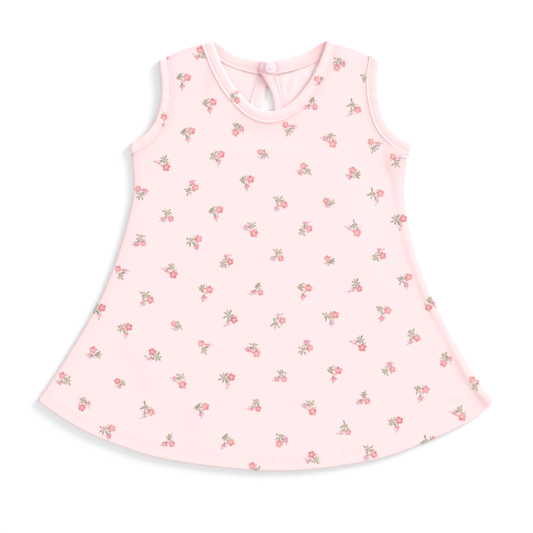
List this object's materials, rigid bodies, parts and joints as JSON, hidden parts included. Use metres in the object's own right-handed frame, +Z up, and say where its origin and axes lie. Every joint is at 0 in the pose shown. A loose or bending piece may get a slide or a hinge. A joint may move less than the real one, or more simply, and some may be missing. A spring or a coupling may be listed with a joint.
{
  "type": "a-line dress",
  "caption": "Sleeveless A-line dress for a baby in pale pink floral jersey, laid flat, with bound neck and armholes and a keyhole back closed by a press stud.",
  "frame": {"origin": "middle of the laid-out dress's outline, on the surface that it lies on", "axes": "+Z up from the surface through the cloth, +Y up the dress to the neck, +X across it"},
  "size_m": [0.4286, 0.4041, 0.0066],
  "materials": {
    "jersey": "pale pink cotton jersey with a small all-over print of rose sprigs, matte and slightly brushed",
    "jersey_inside": "wrong side of the same jersey, plain pale pink, matte",
    "binding": "folded self-fabric binding, edge-stitched",
    "stud": "translucent pink-white moulded plastic"
  },
  "bodies": {
    "root": {"front_panel": "jersey", "back_panel": "jersey_inside", "neck_binding": "binding", "armhole_binding_left": "binding", "armhole_binding_right": "binding", "keyhole_binding": "binding", "snap_inner": "stud", "snap_outer": "stud"}
  },
  "joints": []
}
